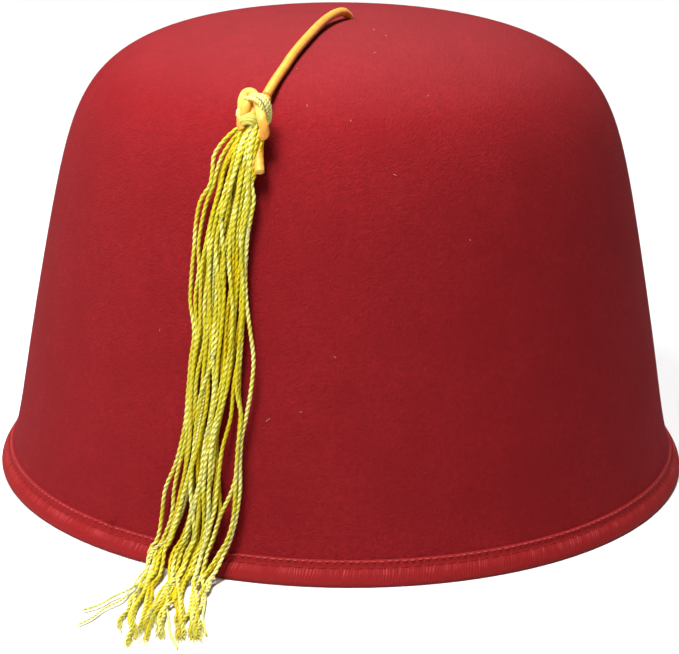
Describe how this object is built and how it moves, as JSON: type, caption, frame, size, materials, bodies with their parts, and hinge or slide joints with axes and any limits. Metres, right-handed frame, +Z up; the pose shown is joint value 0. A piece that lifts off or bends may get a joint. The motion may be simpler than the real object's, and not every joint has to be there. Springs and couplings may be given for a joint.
{
  "type": "fez hat with tassel",
  "caption": "Tapered felt fez with a rounded top, ribbed edge binding and a cord from the top that ends in a knotted thread tassel hanging down the wall.",
  "frame": {"origin": "middle of the rim, on the surface the hat stands on", "axes": "+Z up along the crown's axis, -Y toward the hat's front, where the tassel hangs down a little to the left (-X) and its ends lie on the surface"},
  "size_m": [0.2002, 0.2361, 0.1325],
  "materials": {
    "red_felt": "matte brushed felt",
    "red_ribbed_tape": "ribbed grosgrain tape",
    "golden_cord": "satin cord",
    "yellow_threads": "shiny twisted rayon"
  },
  "bodies": {
    "root": {"crown": "red_felt", "edge_binding": "red_ribbed_tape", "inner_knot": "golden_cord", "tassel_cord": "golden_cord", "tassel_knot": "golden_cord", "tassel_skirt": "yellow_threads"}
  },
  "joints": []
}
